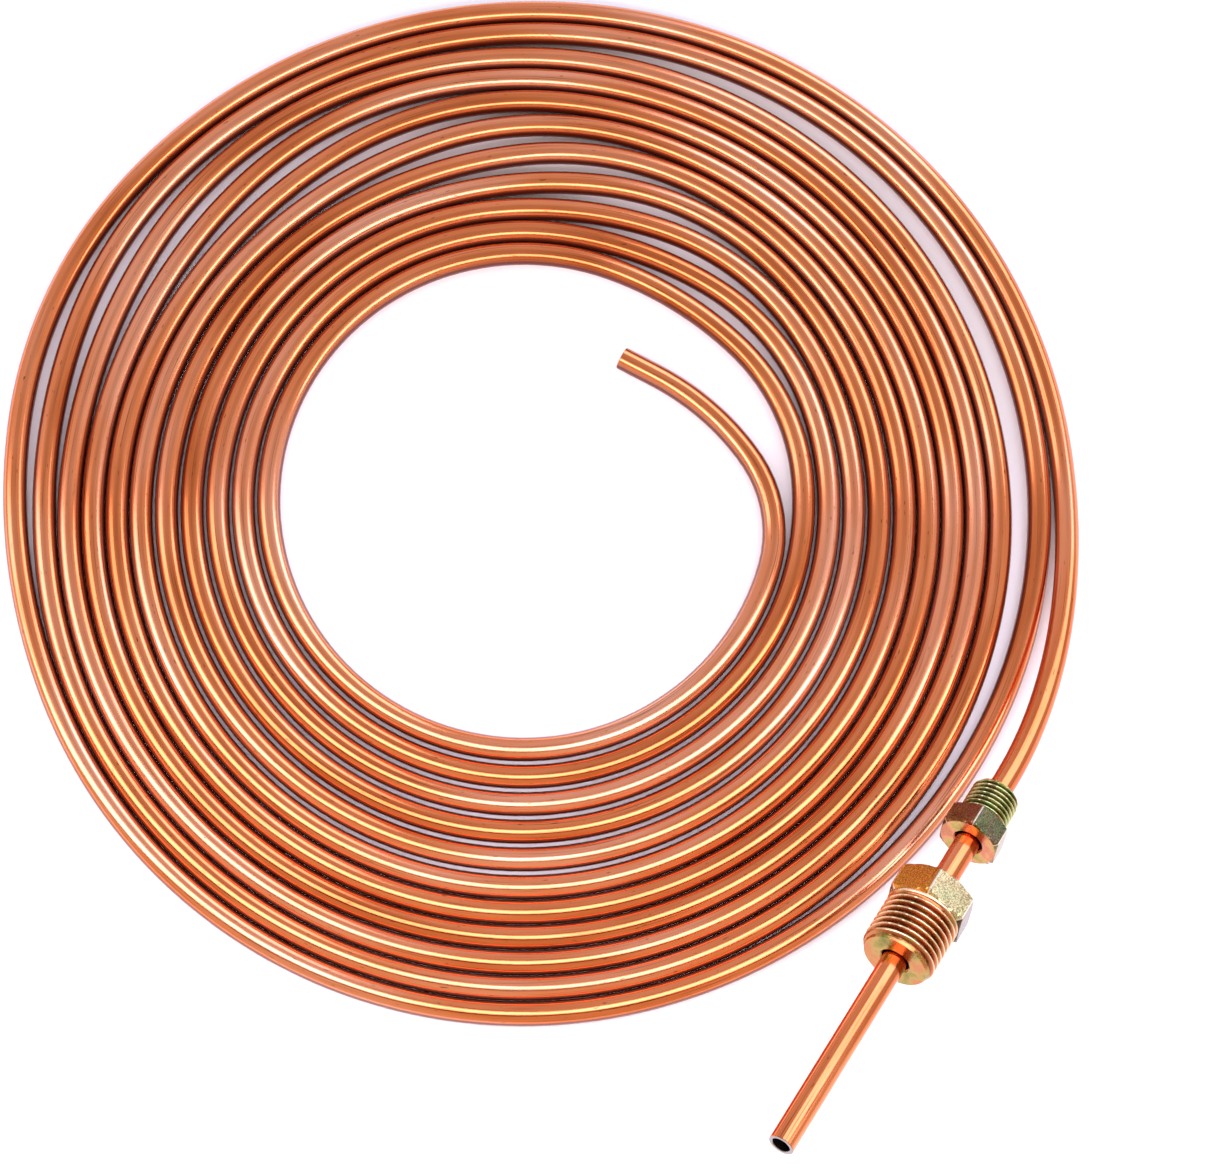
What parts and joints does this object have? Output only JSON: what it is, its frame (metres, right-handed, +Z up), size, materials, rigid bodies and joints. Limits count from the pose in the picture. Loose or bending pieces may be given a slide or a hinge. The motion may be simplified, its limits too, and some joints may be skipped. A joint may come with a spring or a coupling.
{
  "type": "immersion coil",
  "caption": "Flat spiral coil of thin copper-coloured metal tube with loose threaded tube nuts on its rising outer end.",
  "frame": {"origin": "on the resting surface, at the middle of the coil's open eye", "axes": "+Z up, square to the flat coil; +X towards the side where the outer end leaves the coil; the outer end rises towards -X, -Y"},
  "size_m": [0.2181, 0.2363, 0.0585],
  "materials": {
    "coppered_tube": "copper-coated steel tube, drawn, satin to bright",
    "plated_nut_small": "yellow chromate zinc plate",
    "plated_nut_large": "yellow chromate zinc plate"
  },
  "bodies": {
    "coil": {"tube_coil": "coppered_tube"},
    "small_nut": {"small_tube_nut": "plated_nut_small"},
    "large_nut": {"large_tube_nut": "plated_nut_large"}
  },
  "joints": [
    {"name": "small_nut_slide", "type": "slide", "parent": "coil", "child": "small_nut", "axis": [-0.5349, -0.7362, 0.4147], "range_m": [0, 0.006]},
    {"name": "large_nut_slide", "type": "slide", "parent": "coil", "child": "large_nut", "axis": [-0.5349, -0.7362, 0.4147], "range_m": [-0.006, 0.043]}
  ]
}
